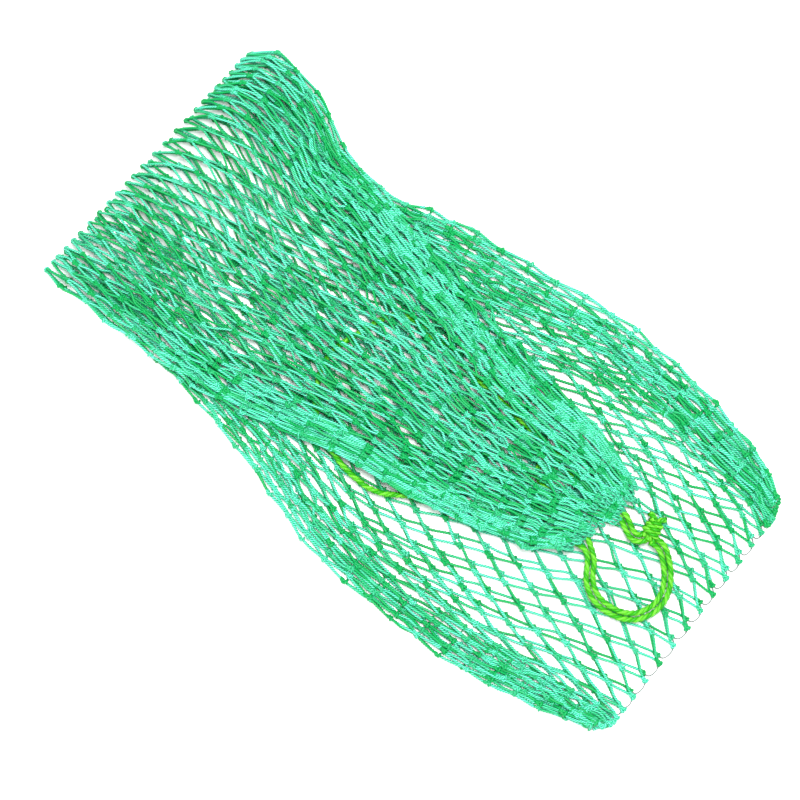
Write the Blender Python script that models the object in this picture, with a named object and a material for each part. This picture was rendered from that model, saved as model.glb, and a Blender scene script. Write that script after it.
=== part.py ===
"""A drawstring net bag of knotted twine, lying flat and folded once across its width.

The frame is the bag as it lies: +X runs from the fold to the closed bottom end, +Y across the bag,
+Z up, with the origin on the ground under the middle of the bag. The base half lies on the ground.
The flap half lies on top of it, narrows to the gathered mouth, and turns about the fold.
The drawcord lies between the two halves, comes out of the mouth and is tied in a knot.
Each soft solid here holds the room that its netting takes; the twine itself is finer than this model.
"""

import math

import bpy
from mathutils import Vector

MM = 0.001

# Heights of the layers, from the ground up.
GAP = 0.3 * MM
SIDE_GAP = 0.7 * MM  # between a sheet and the bunched edge beside it
SHEET = 2.8 * MM  # one layer of netting, as thick as its knots
CORD_D = 2.4 * MM
UNDER_SHEET = (0.0, SHEET)
TOP_SHEET = (SHEET + GAP, 2 * SHEET + GAP)
CORD_Z = TOP_SHEET[1] + GAP + CORD_D / 2
FLAP_UNDER_SHEET = (CORD_Z + CORD_D / 2 + GAP, CORD_Z + CORD_D / 2 + GAP + SHEET)
FLAP_TOP_SHEET = (FLAP_UNDER_SHEET[1] + GAP, FLAP_UNDER_SHEET[1] + GAP + SHEET + 0.6 * MM)
FOLD_Z = 7.8 * MM  # height of the fold's outermost line, which the flap turns about
FOLD_TOP = 2 * FOLD_Z

# Outlines in millimetres, from the fold to the far end: (x, y) along each side of a half.
BASE_FRONT = [
    (-146.0, -62.4), (-91.6, -59.2), (-45.2, -64.0), (19.2, -76.8),
    (70.4, -74.8), (110.8, -66.4), (146.0, -54.4),
]
BASE_REAR = [
    (-135.2, 64.4), (-112.8, 62.8), (-88.8, 56.8), (-66.0, 52.0), (-37.6, 61.0), (-14.8, 66.0),
    (12.8, 71.2), (50.0, 76.8), (82.4, 76.0), (106.4, 72.8), (130.0, 66.8), (140.0, 59.2),
]
FLAP_FRONT = [
    (-146.0, -62.4), (-91.6, -59.2), (-67.2, -56.4), (-45.6, -51.2), (-3.6, -38.4),
    (19.6, -34.4), (41.2, -28.8), (61.6, -21.6), (82.8, -10.0), (92.0, -2.0),
]
FLAP_REAR = [
    (-135.2, 64.4), (-112.8, 62.8), (-88.8, 56.8), (-66.0, 52.0), (-12.0, 44.4),
    (30.4, 38.4), (64.0, 36.4), (86.4, 30.0),
]
MOUTH_END = ((95.6, 3.0), (93.0, 24.4))  # front and rear corner of the mouth's rounded end

# How each half is divided, as shares of its length.
FOLD_SHARE = 0.048
FLAP_FOLD_SHARE = 0.059
CORNER_SHARE = 0.88  # the bunched bottom corners start here
END_ROW_SHARE = 0.95  # the row of meshes that closes the bottom
MOUTH_SHARE = 0.90  # the gathered mouth starts here
JOINT_SHARE = 0.0012  # left free between neighbours

# Bunched edges, where the meshes are rolled together.
BASE_ROLL_FRONT = 13 * MM
BASE_ROLL_REAR = 15 * MM
BASE_ROLL_HEIGHT = 8.3 * MM
CORNER_HEIGHT = 9.6 * MM
FLAP_ROLL = 9 * MM
FLAP_ROLL_HEIGHT = 6.4 * MM

# The drawcord goes twice through the mouth: each turn leaves the knot as the pull loop, goes in at
# the mouth's front corner, turns round between the halves and comes back out to the knot.
STRAND_STEP = 2.8 * MM  # between the middles of the two strands, where they lie side by side
KNOT = (105.6, 20.6)
KNOT_RADII = (3.7 * MM, 4.6 * MM, 3.0 * MM)
TAIL_D = 2.6 * MM
TAILS = ((101.4, 23.6), (107.6, 27.2))  # tips of the two cut tails
PULL_LOOP = [
    (108.6, 16.6), (113.2, 17.0), (118.4, 14.0), (123.0, 9.6), (126.2, 4.6), (127.4, -0.6),
    (126.6, -5.8), (123.6, -11.0), (118.6, -14.4), (112.6, -15.9), (106.8, -15.6),
    (101.8, -13.2), (98.2, -9.4), (95.2, -5.2),
]
MOUTH_STRANDS = [(93.0, 16.4), (97.4, 15.0), (101.0, 13.0), (103.6, 13.0), (104.6, 15.4)]
SHORT_TURN = [
    (90.4, -0.6), (84.0, 2.2), (74.0, 3.6), (64.0, 4.4), (57.6, 6.4), (55.4, 9.6),
    (57.6, 12.8), (64.0, 14.6), (76.0, 15.0), (86.0, 15.0),
]
LONG_TURN = [
    (89.0, -3.8), (76.0, -8.0), (60.4, -14.0), (46.0, -21.0), (34.0, -27.4), (26.6, -32.0),
    (21.6, -35.2), (15.2, -39.9), (8.0, -42.2), (-1.8, -42.3), (-9.4, -40.9), (-18.1, -38.2),
    (-27.2, -32.0), (-33.0, -24.6), (-36.6, -16.4), (-37.2, -8.6), (-35.0, -0.2), (-32.6, 6.6),
    (-31.0, 12.4), (-27.8, 17.4), (-21.6, 20.2), (-10.0, 20.6), (20.0, 19.2), (48.4, 18.0),
    (70.0, 17.8), (86.0, 17.8),
]


def clear_scene():
    for obj in list(bpy.data.objects):
        bpy.data.objects.remove(obj)


def material(name, colour, roughness):
    """A Principled BSDF of one colour."""
    mat = bpy.data.materials.new(name)
    mat.use_nodes = True
    bsdf = mat.node_tree.nodes["Principled BSDF"]
    bsdf.inputs["Base Color"].default_value = (*colour, 1.0)
    bsdf.inputs["Roughness"].default_value = roughness
    bsdf.inputs["Metallic"].default_value = 0.0
    return mat


def side_y(side, x):
    """The side's y at x, on a smooth curve that never swings past its own points."""
    count = len(side)
    slopes = [(side[i + 1][1] - side[i][1]) / (side[i + 1][0] - side[i][0]) for i in range(count - 1)]
    tangents = [slopes[0]]
    for before, after in zip(slopes, slopes[1:]):
        turning = before * after <= 0
        tangents.append(0.0 if turning else 2 * before * after / (before + after))
    tangents.append(slopes[-1])
    i = max(k for k in range(count - 1) if k == 0 or x >= side[k][0])
    (x0, y0), (x1, y1) = side[i], side[i + 1]
    step = x1 - x0
    t = (x - x0) / step
    rise = (2 * t**3 - 3 * t**2 + 1) * y0 + (3 * t**2 - 2 * t**3) * y1
    return rise + step * ((t**3 - 2 * t**2 + t) * tangents[i] + (t**3 - t**2) * tangents[i + 1])


def on_side(side, share):
    """The point at this share of the side's length, on the ground, in metres."""
    x = side[0][0] + (side[-1][0] - side[0][0]) * share
    return Vector((x * MM, side_y(side, x) * MM, 0.0))


def spread(low, high, count):
    return [low + (high - low) * i / (count - 1) for i in range(count)]


def solid_from_rings(name, mat, rings):
    """A closed body through rings of points, with a cap on each end. It is shaded smooth."""
    size = len(rings[0])
    points = [p for ring in rings for p in ring]
    faces = [list(range(size))[::-1], [len(points) - size + k for k in range(size)]]
    for r in range(len(rings) - 1):
        for k in range(size):
            a, b = r * size + k, r * size + (k + 1) % size
            faces.append([a, b, b + size, a + size])
    mesh = bpy.data.meshes.new(name)
    mesh.from_pydata(points, [], faces)
    mesh.materials.append(mat)
    mesh.shade_smooth()
    mesh.set_sharp_from_angle(angle=math.radians(50))
    obj = bpy.data.objects.new(name, mesh)
    bpy.context.scene.collection.objects.link(obj)
    return obj


def slab_ring(start, end, low, high, chamfer):
    """A flat section from start to end with chamfered corners, wound to face along +X."""
    along = (end - start).normalized()
    inner, outer = start + along * chamfer, end - along * chamfer
    section = [
        (start, high - chamfer), (start, low + chamfer), (inner, low), (outer, low),
        (end, low + chamfer), (end, high - chamfer), (outer, high), (inner, high),
    ]
    return [Vector((p.x, p.y, z)) for p, z in section]


def roll_ring(start, end, low, high):
    """A section of a bunched edge: flat underneath, with a round back."""
    section = [
        (0.04, 0.55), (0.0, 0.25), (0.10, 0.0), (0.90, 0.0), (1.0, 0.25),
        (0.96, 0.55), (0.80, 0.86), (0.5, 1.0), (0.20, 0.86),
    ]
    return [
        Vector((*start.lerp(end, across).xy, low + (high - low) * up)) for across, up in section
    ]


def half_section(front, rear, share, trim_front, trim_rear):
    """The line across a half at this share of its length, shortened at each side."""
    a, b = on_side(front, share), on_side(rear, share)
    along = (b - a).normalized()
    return a + along * trim_front, b - along * trim_rear


def sheet(name, mat, sides, shares, trims, layer, count=18):
    """One layer of netting between the bunched edges."""
    rings = []
    for share in spread(*shares, count):
        start, end = half_section(*sides, share, *trims)
        rings.append(slab_ring(start, end, *layer, 0.5 * MM))
    return solid_from_rings(name, mat, rings)


def bunched_edge(name, mat, sides, shares, width, layer, at_front, count=18):
    """The rolled meshes along one side of a half."""
    rings = []
    for share in spread(*shares, count):
        start, end = half_section(*sides, share, 0.0, 0.0)
        along = (end - start).normalized()
        pair = (start, start + along * width) if at_front else (end - along * width, end)
        rings.append(roll_ring(*pair, *layer))
    return solid_from_rings(name, mat, rings)


def fold_half(name, mat, inner_share, upper):
    """Half of the rolled fold, from its outermost line in to inner_share of the length."""
    profile = [  # depth as a share of the fold's, and height from the ground
        (1.0, FOLD_Z - GAP / 2), (0.02, FOLD_Z - GAP / 2), (0.06, 4.4 * MM), (0.16, 2.2 * MM),
        (0.32, 0.8 * MM), (0.58, 0.0), (1.0, 0.0),
    ]
    if upper:
        profile = [(depth, FOLD_TOP - z) for depth, z in profile][::-1]
    rings = []
    for across in spread(1.0, 0.0, 9):
        outer = on_side(BASE_FRONT, 0.0).lerp(on_side(BASE_REAR, 0.0), across)
        inner = on_side(BASE_FRONT, inner_share).lerp(on_side(BASE_REAR, inner_share), across)
        rings.append([Vector((*outer.lerp(inner, depth).xy, z)) for depth, z in profile])
    return solid_from_rings(name, mat, rings)


def smooth_route(points, spacing):
    """Points spaced evenly along a Catmull-Rom curve through the given ones."""
    knots = [points[0] * 2 - points[1], *points, points[-1] * 2 - points[-2]]
    fine = []
    for a, b, c, d in zip(knots, knots[1:], knots[2:], knots[3:]):
        for t in spread(0.0, 0.95, 20):
            bend = (2 * a - 5 * b + 4 * c - d) * t**2 + (3 * b - a - 3 * c + d) * t**3
            fine.append((2 * b + (c - a) * t + bend) / 2)
    fine.append(points[-1])
    lengths = [(q - p).length for p, q in zip(fine, fine[1:])]
    runs = max(2, round(sum(lengths) / spacing))
    route, passed, i = [fine[0]], 0.0, 0
    for n in range(1, runs):
        wanted = sum(lengths) * n / runs
        while passed + lengths[i] < wanted:
            passed += lengths[i]
            i += 1
        route.append(fine[i].lerp(fine[i + 1], (wanted - passed) / lengths[i]))
    return [*route, fine[-1]]


def offset_route(points, distance):
    """The route moved sideways, to the left of its direction, in the plane that it lies in."""
    moved = []
    for i, point in enumerate(points):
        ahead = points[min(i + 1, len(points) - 1)] - points[max(i - 1, 0)]
        left = Vector((-ahead.y, ahead.x, 0.0)).normalized()
        moved.append(point + left * distance)
    return moved


def route_of(places):
    return [Vector((x * MM, y * MM, CORD_Z)) for x, y in places]


def cord_turn(name, mat, inner_turn, offset):
    """One turn of the drawcord, from the knot through the mouth and back, as a plain tube."""
    outside = offset_route(route_of(PULL_LOOP), -offset)
    back = offset_route(route_of(MOUTH_STRANDS), -offset)
    route = smooth_route([*outside, *route_of(inner_turn), *back], 3.0 * CORD_D)
    curve = bpy.data.curves.new(name, "CURVE")
    curve.dimensions = "3D"
    curve.bevel_depth = CORD_D / 2
    curve.bevel_resolution = 2
    curve.use_fill_caps = True
    spline = curve.splines.new("POLY")
    spline.points.add(len(route) - 1)
    for place, point in zip(spline.points, route):
        place.co = (*point, 1.0)
    curve.materials.append(mat)
    obj = bpy.data.objects.new(name, curve)
    bpy.context.scene.collection.objects.link(obj)
    return obj


def round_lump(name, mat, centre, radii):
    bpy.ops.mesh.primitive_uv_sphere_add(segments=14, ring_count=8, radius=1.0)
    lump = bpy.context.object
    lump.name = name
    for vertex in lump.data.vertices:
        vertex.co = Vector(centre) + Vector(c * r for c, r in zip(vertex.co, radii))
    lump.data.materials.append(mat)
    lump.data.shade_smooth()
    return lump


def knot_with_tails(name, mat):
    """The tied lump of the drawcord with its two cut tails, as one body."""
    centre = Vector((KNOT[0] * MM, KNOT[1] * MM, TOP_SHEET[1] + GAP + KNOT_RADII[2]))
    lump = round_lump(name, mat, centre, KNOT_RADII)
    for i, tip in enumerate(TAILS):
        reach = Vector((tip[0] * MM, tip[1] * MM, centre.z)) - centre
        bpy.ops.mesh.primitive_cylinder_add(vertices=10, radius=TAIL_D / 2, depth=reach.length)
        tail = bpy.context.object
        tail.name = f"tail_cutter_{i}"
        tail.location = centre + reach / 2
        tail.rotation_euler = reach.to_track_quat("Z", "Y").to_euler()
        tail.hide_render = True
        tail.display_type = "WIRE"
        join = lump.modifiers.new(f"tail_{i}", "BOOLEAN")
        join.operation = "UNION"
        join.object = tail
    return lump


def build_base(twine, bunched):
    sides = (BASE_FRONT, BASE_REAR)
    trims = (BASE_ROLL_FRONT + SIDE_GAP, BASE_ROLL_REAR + SIDE_GAP)
    body = (FOLD_SHARE + JOINT_SHARE, END_ROW_SHARE - JOINT_SHARE)
    sheet("base_underside_netting", twine, sides, body, trims, UNDER_SHEET)
    sheet("base_topside_netting", twine, sides, body, trims, TOP_SHEET)
    end_row = (END_ROW_SHARE, 1.0)
    sheet("bottom_closing_row", bunched, sides, end_row, trims, (0.0, TOP_SHEET[1]), 5)
    along = (FOLD_SHARE + JOINT_SHARE, CORNER_SHARE - JOINT_SHARE)
    corner = (CORNER_SHARE, 1.0)
    for end, at_front in (("front", True), ("rear", False)):
        width = BASE_ROLL_FRONT if at_front else BASE_ROLL_REAR
        roll = (0.0, BASE_ROLL_HEIGHT)
        bunched_edge(f"base_{end}_edge_roll", bunched, sides, along, width, roll, at_front)
        lump = (0.0, CORNER_HEIGHT)
        bunched_edge(f"bottom_{end}_corner_bunch", bunched, sides, corner, width, lump, at_front, 6)
    fold_half("fold_lower_half", twine, FOLD_SHARE, upper=False)


def build_flap(twine, bunched):
    sides = (FLAP_FRONT, FLAP_REAR)
    trims = (FLAP_ROLL + SIDE_GAP, FLAP_ROLL + SIDE_GAP)
    body = (FLAP_FOLD_SHARE + JOINT_SHARE, MOUTH_SHARE - JOINT_SHARE)
    sheet("flap_underside_netting", twine, sides, body, trims, FLAP_UNDER_SHEET)
    sheet("flap_topside_netting", twine, sides, body, trims, FLAP_TOP_SHEET)
    roll = (FLAP_UNDER_SHEET[0], FLAP_UNDER_SHEET[0] + FLAP_ROLL_HEIGHT)
    for end, at_front in (("front", True), ("rear", False)):
        bunched_edge(f"flap_{end}_edge_roll", bunched, sides, body, FLAP_ROLL, roll, at_front)
    fold_half("fold_upper_half", twine, FOLD_SHARE, upper=True)
    mouth = [half_section(*sides, share, 0.0, 0.0) for share in spread(MOUTH_SHARE, 1.0, 5)]
    mouth.append(tuple(Vector((x * MM, y * MM, 0.0)) for x, y in MOUTH_END))
    rings = [slab_ring(start, end, *roll, 1.6 * MM) for start, end in mouth]
    solid_from_rings("mouth_gather", bunched, rings)


def build_drawcord(cord):
    cord_turn("drawcord_short_turn", cord, SHORT_TURN, STRAND_STEP / 2)
    cord_turn("drawcord_long_turn", cord, LONG_TURN, -STRAND_STEP / 2)
    knot_with_tails("drawcord_knot", cord)


clear_scene()
twine_green = material("netting_twine", (0.02, 0.52, 0.26), 0.5)
bunched_green = material("bunched_twine", (0.015, 0.38, 0.16), 0.55)
cord_lime = material("drawcord_twist", (0.16, 0.72, 0.03), 0.45)
build_base(twine_green, bunched_green)
build_flap(twine_green, bunched_green)
build_drawcord(cord_lime)
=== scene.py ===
"""A drawstring net bag in green knotted twine, lying flat and folded once, with its lime drawcord.

Units are metres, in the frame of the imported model: +X runs from the fold to the closed bottom end,
+Y across the bag, +Z up. Lists of places are in millimetres. The netting is laid out knot by knot,
eased until hardly a bar is longer than it was netted, and then built as real twine: a three-strand
lay, a tied knot at every crossing, and bars between.
"""

import math

import bpy
import numpy as np
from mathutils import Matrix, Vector


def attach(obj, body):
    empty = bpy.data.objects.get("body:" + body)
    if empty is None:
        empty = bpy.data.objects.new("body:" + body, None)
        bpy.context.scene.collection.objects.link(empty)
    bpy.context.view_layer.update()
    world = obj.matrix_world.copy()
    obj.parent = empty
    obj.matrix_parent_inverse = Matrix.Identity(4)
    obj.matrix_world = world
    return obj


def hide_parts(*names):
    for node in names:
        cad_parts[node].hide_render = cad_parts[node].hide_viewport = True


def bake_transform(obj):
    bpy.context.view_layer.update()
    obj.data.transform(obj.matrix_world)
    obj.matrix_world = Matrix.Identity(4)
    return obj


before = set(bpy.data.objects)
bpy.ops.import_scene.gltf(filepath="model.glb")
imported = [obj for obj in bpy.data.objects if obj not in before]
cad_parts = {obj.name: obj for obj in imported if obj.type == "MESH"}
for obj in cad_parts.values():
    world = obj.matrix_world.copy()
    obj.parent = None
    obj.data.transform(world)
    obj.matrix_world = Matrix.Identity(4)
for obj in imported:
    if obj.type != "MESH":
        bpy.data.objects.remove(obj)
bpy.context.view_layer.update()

MM = 0.001
SEED = 11

# ---------------------------------------------------------------- the netting's own sizes
AROUND = 54  # meshes round the tube
HALF = AROUND // 2  # meshes across one flat layer
BAR = 12.6 * MM  # knot to knot
TWINE_R = 0.62 * MM  # crest of the three-strand lay
GROOVE_R = 0.40 * MM
TWINE_LAY = 3.5 * MM  # one full turn of the lay
CORD_LAY = 7.0 * MM
CORD_Z = 7.4 * MM

# ---------------------------------------------------------------- outlines
# They are the CAD source's, in millimetres, but the fold's rear corner is rounder here, as in the photo.
REAR_CORNER = [
    (-141.5, 58.0), (-136.0, 63.6), (-127.0, 66.8), (-115.0, 65.6), (-101.0, 61.6), (-86.0, 54.4),
    (-66.0, 52.0),
]
BASE_FRONT = [
    (-146.0, -62.4), (-91.6, -59.2), (-45.2, -64.0), (19.2, -76.8),
    (70.4, -74.8), (110.8, -66.4), (146.0, -54.4),
]
BASE_REAR = [
    *REAR_CORNER, (-37.6, 61.0), (-14.8, 66.0),
    (12.8, 71.2), (50.0, 76.8), (82.4, 76.0), (106.4, 72.8), (130.0, 66.8), (140.0, 59.2),
]
FLAP_FRONT = [
    (-146.0, -62.4), (-91.6, -59.2), (-67.2, -56.4), (-45.6, -51.2), (-3.6, -38.4),
    (19.6, -34.4), (41.2, -28.8), (61.6, -21.6), (82.8, -10.0), (92.0, -2.0),
]
FLAP_REAR = [*REAR_CORNER, (-12.0, 44.4), (30.4, 38.4), (64.0, 36.4), (86.4, 30.0)]
FOLD_Z = 7.8 * MM
SIDE_POINTS = 400


def smooth_side(points):
    """Many points along a side's smooth curve, in metres, evenly spaced in x."""
    side = np.array(points) * MM
    step = np.diff(side, axis=0)
    slope = step[:, 1] / step[:, 0]
    before, after = slope[:-1], slope[1:]
    turning = before * after <= 0
    middle = np.where(turning, 0.0, 2 * before * after / np.where(turning, 1.0, before + after))
    tangent = np.concatenate([slope[:1], middle, slope[-1:]])
    x = np.linspace(side[0, 0], side[-1, 0], SIDE_POINTS)
    i = np.clip(np.searchsorted(side[:, 0], x) - 1, 0, len(step) - 1)
    t = (x - side[i, 0]) / step[i, 0]
    y = (
        (2 * t**3 - 3 * t**2 + 1) * side[i, 1]
        + (3 * t**2 - 2 * t**3) * side[i + 1, 1]
        + step[i, 0] * ((t**3 - 2 * t**2 + t) * tangent[i] + (t**3 - t**2) * tangent[i + 1])
    )
    return np.stack([x, y], axis=1)


SIDES = {
    "base": (smooth_side(BASE_FRONT), smooth_side(BASE_REAR)),
    "flap": (smooth_side(FLAP_FRONT), smooth_side(FLAP_REAR)),
}


def on_half(half, share, across):
    """The point of a half at this share of its length from the fold, and this share of its width."""
    at = np.linspace(0.0, 1.0, SIDE_POINTS)
    front, rear = (
        np.stack([np.interp(share, at, side[:, k]) for k in (0, 1)], axis=-1) for side in SIDES[half]
    )
    return front + (rear - front) * across[..., None]


# ---------------------------------------------------------------- how the meshes spread across
BASE_ROWS, FLAP_ROWS = 25, 21
ROWS = BASE_ROWS + FLAP_ROWS
BASE_LENGTH, FLAP_LENGTH = 287 * MM, 231 * MM
# At stations from the bottom to the mouth: meshes in the front and rear bunch, and how close they are.
SPREAD_AT = [0.0, 0.06, 0.28, 0.40, 0.54, 0.62, 0.70, 0.80, 1.0]
SPREAD = {
    "front_count": [7.8, 7.2, 6.5, 6.0, 5.5, 5.0, 5.2, 5.5, 5.0],
    "rear_count": [8.0, 8.4, 9.5, 9.5, 8.0, 8.0, 8.5, 7.5, 6.0],
    "front_closeness": [0.11, 0.24, 0.34, 0.40, 0.66, 0.52, 0.55, 0.60, 0.75],
    "rear_closeness": [0.11, 0.26, 0.42, 0.38, 0.60, 0.52, 0.42, 0.50, 0.70],
    "sharpness": [1.4, 1.1, 0.55, 0.7, 0.9, 0.8, 0.8, 0.8, 0.8],
}
FINE_COLUMNS = 240


def across_share(column, along):
    """Where a column of meshes lies across its layer, 0 at the front edge and 1 at the rear."""
    fine = np.linspace(0.0, HALF, FINE_COLUMNS + 1)
    p = {name: np.interp(along, SPREAD_AT, values)[..., None] for name, values in SPREAD.items()}
    front = 1 / (1 + np.exp((fine - p["front_count"]) * p["sharpness"]))
    rear = 1 / (1 + np.exp((HALF - fine - p["rear_count"]) * p["sharpness"]))
    density = 1 - (1 - p["front_closeness"]) * front - (1 - p["rear_closeness"]) * rear
    total = np.cumsum(density, axis=-1) - density[..., :1]
    total = total / total[..., -1:]
    place = np.clip(column / HALF * FINE_COLUMNS, 0, FINE_COLUMNS - 0.001)
    low = place.astype(int)[..., None]
    a = np.take_along_axis(total, low, axis=-1)[..., 0]
    b = np.take_along_axis(total, low + 1, axis=-1)[..., 0]
    return a + (b - a) * (place - low[..., 0])


def blurred(noise, along, around):
    """The noise made smooth: so many passes along the bag, and so many round it."""
    for _ in range(along):
        padded = np.concatenate([noise[:1], noise, noise[-1:]])
        noise = (padded[:-2] + 2 * padded[1:-1] + padded[2:]) / 4
    for _ in range(around):
        noise = (np.roll(noise, 1, 1) + 2 * noise + np.roll(noise, -1, 1)) / 4
    return noise / noise.std()


def smoothstep(x, low, high):
    """0 up to low, 1 from high on, and a smooth rise between."""
    t = np.clip((x - low) / (high - low), 0.0, 1.0)
    return t * t * (3 - 2 * t)


# ---------------------------------------------------------------- the drawcord's route
# It is the CAD source's, but the two turns lie 0.2 mm closer together, and the bends in the mouth strands
# and at the short turn's end are rounder.
STRAND_STEP = 2.6 * MM  # between the two turns, side by side
PULL_LOOP = [
    (108.6, 16.6), (113.2, 17.0), (118.4, 14.0), (123.0, 9.6), (126.2, 4.6), (127.4, -0.6),
    (126.6, -5.8), (123.6, -11.0), (118.6, -14.4), (112.6, -15.9), (106.8, -15.6),
    (101.8, -13.2), (98.2, -9.4), (95.2, -5.2),
]
MOUTH_STRANDS = [
    (93.0, 16.3), (96.4, 15.0), (99.6, 13.5), (102.0, 12.9), (104.2, 13.5), (105.6, 15.2), (106.0, 17.4),
]
SHORT_TURN = [
    (90.4, -0.6), (84.0, 2.2), (75.0, 3.8), (66.0, 4.5), (60.6, 4.7), (57.4, 5.8), (55.7, 7.6), (55.2, 9.8),
    (55.7, 12.0), (57.4, 13.8), (60.6, 14.9), (66.0, 15.0), (76.0, 15.0), (86.0, 15.0),
]
LONG_TURN = [
    (89.0, -3.8), (76.0, -8.0), (60.4, -14.0), (46.0, -21.0), (34.0, -27.4), (26.6, -32.0),
    (21.6, -35.2), (15.2, -39.9), (8.0, -42.2), (-1.8, -42.3), (-9.4, -40.9), (-18.1, -38.2),
    (-27.2, -32.0), (-33.0, -24.6), (-36.6, -16.4), (-37.2, -8.6), (-35.0, -0.2), (-32.6, 6.6),
    (-31.0, 12.4), (-27.8, 17.4), (-21.6, 20.2), (-10.0, 20.6), (20.0, 19.2), (48.4, 18.0),
    (70.0, 17.8), (86.0, 17.8),
]


def flat_route(places, offset=0.0):
    """Places in millimetres as points at the cord's height, moved sideways by offset."""
    points = np.array([(x * MM, y * MM, CORD_Z) for x, y in places])
    ahead = np.gradient(points, axis=0)
    left = np.stack([-ahead[:, 1], ahead[:, 0], np.zeros(len(points))], axis=1)
    left /= np.linalg.norm(left, axis=1, keepdims=True)
    return points + left * offset


def run_along(points):
    """How far along its path each point lies."""
    return np.concatenate([[0.0], np.cumsum(np.linalg.norm(np.diff(points, axis=0), axis=1))])


def resampled(points, count):
    """So many points, spaced evenly along the same path."""
    run = run_along(points)
    even = np.linspace(0.0, run[-1], count)
    return np.stack([np.interp(even, run, points[:, k]) for k in range(3)], axis=1)


def smooth_route(points, spacing):
    """Points spaced evenly along a Catmull-Rom curve through the given ones."""
    knots = np.concatenate([[2 * points[0] - points[1]], points, [2 * points[-1] - points[-2]]])
    t = np.linspace(0, 1, 40, endpoint=False)[:, None]
    fine = [
        (2 * b + (c - a) * t + (2 * a - 5 * b + 4 * c - d) * t**2 + (3 * b - a - 3 * c + d) * t**3) / 2
        for a, b, c, d in zip(knots, knots[1:], knots[2:], knots[3:])
    ]
    fine = np.concatenate([*fine, points[-1:]])
    return resampled(fine, max(3, round(run_along(fine)[-1] / spacing) + 1))


def turn_route(inner_turn, offset, spacing):
    """One turn of the cord, from the knot round the pull loop, through the mouth and back to the knot."""
    outside, back = flat_route(PULL_LOOP, -offset), flat_route(MOUTH_STRANDS, -offset)
    return smooth_route(np.concatenate([outside, flat_route(inner_turn), back]), spacing)


# ---------------------------------------------------------------- laying the netting out
CORD_SLIDES = (0, 12, 25)  # the cord at rest, half drawn out and all drawn out, in millimetres
CLEAR_FROM, CLEAR_TO = 4 * MM, 14 * MM

# At shares of the length from the bottom: how far the two layers have slid apart, in meshes,
# and how much of the meshes' wandering and of their jitter is left.
SLIDE_AT, SLIDE = [0.0, 0.25, 0.54, 0.70, 1.0], [0.10, 0.14, 0.38, 0.16, 0.25]
WANDER_AT, WANDER = [0.0, 0.08, 0.5, 0.9, 1.0], [0.15, 0.9, 1.0, 1.0, 0.5]
JITTER_AT, JITTER = [0.0, 0.85, 1.0], [1.0, 1.0, 0.4]
OVER_FOLD, NARROWS = (0.57, 0.70), (0.62, 0.95)  # where it has gone over the fold, and where it narrows
MOUTH_LEAN = 0.26  # how much closer the meshes lie to the front edge near the mouth
FARTHEST = 0.997  # of a half's length, for any knot

# In meshes across a layer: where a bunch fades out, where wandering fades out at the edges, and its sizes.
BUNCH_EDGE, FLAP_CROWDING = (-2.5, 1.0), 0.8
CALM_EDGE, EDGE_ROOM = 3, 0.05
PATCH_WANDER, FLAP_WANDER = 0.16, 0.16
OPEN_WANDER, BUNCHED_WANDER = 0.04, 0.12

# In millimetres along the bag: how far rows swing and single knots jitter, and how much more in places.
SWING, FLAP_SWING = 2.5, 2.0
OPEN_JITTER, BUNCHED_JITTER, FLAP_JITTER = 0.25, 0.9, 0.7
EDGE_JITTER, EDGE_MESHES = 0.25, 2.5  # the share of it that is left at the very edge
OFF_FOLD, STILL_ROWS = (6 * MM, 40 * MM), 3

FOLD_RADIUS, LAYER_STEP = 5.0 * MM, 2.0 * MM  # the fold's radius, and how far each layer is from it
LAYER_STEEPNESS = 3.2  # how soon the layers part inside the edges
OUTER_APEX, INNER_APEX = 0.75 * MM, 1.9 * MM  # from the fold's edge to each layer
BOTTOM_WIDTH = 114 * MM
FRONT_ROUNDING, REAR_ROUNDING, ROUNDING_REACH = 5.0 * MM, 3.0 * MM, 9 * MM
ROUNDING_POWER, ROUNDED_ROWS = 1.3, 6

# Heights of the layers, in millimetres.
BASE_UNDER, BASE_TOP, BASE_UNEVEN = 1.3, 3.5, 0.25
FLAP_UNDER, CORD_LIFT, FLAP_GAP = 7.3, 3.1, 2.9
FLAP_UNEVEN, FLAP_CALM = 0.35, 0.15
BASE_BUNCH, BASE_BUNCH_RISE = 3.9, 2.7
FLAP_BUNCH, FLAP_BUNCH_RISE = 1.6, 1.7
BASE_SETTLES, FLAP_SETTLES = (6 * MM, 20 * MM), (14 * MM, 46 * MM)  # from the fold's edge
BUNCH_CORE, TUMBLE, ROUND_BACK = 2.5, 0.75, 3.0


def cord_clearance(xy):
    """1 over the drawcord and the way it slides, falling to 0 at 14 mm from it."""
    slid = [
        turn_route(turn, 0.0, 6 * MM)[:, :2] + (slide * MM, 0)
        for turn in (SHORT_TURN, LONG_TURN)
        for slide in CORD_SLIDES
    ]
    nearest = np.sqrt(((xy[..., None, :] - np.concatenate(slid)) ** 2).sum(-1)).min(-1)
    return 1 - smoothstep(nearest, CLEAR_FROM, CLEAR_TO)


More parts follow.
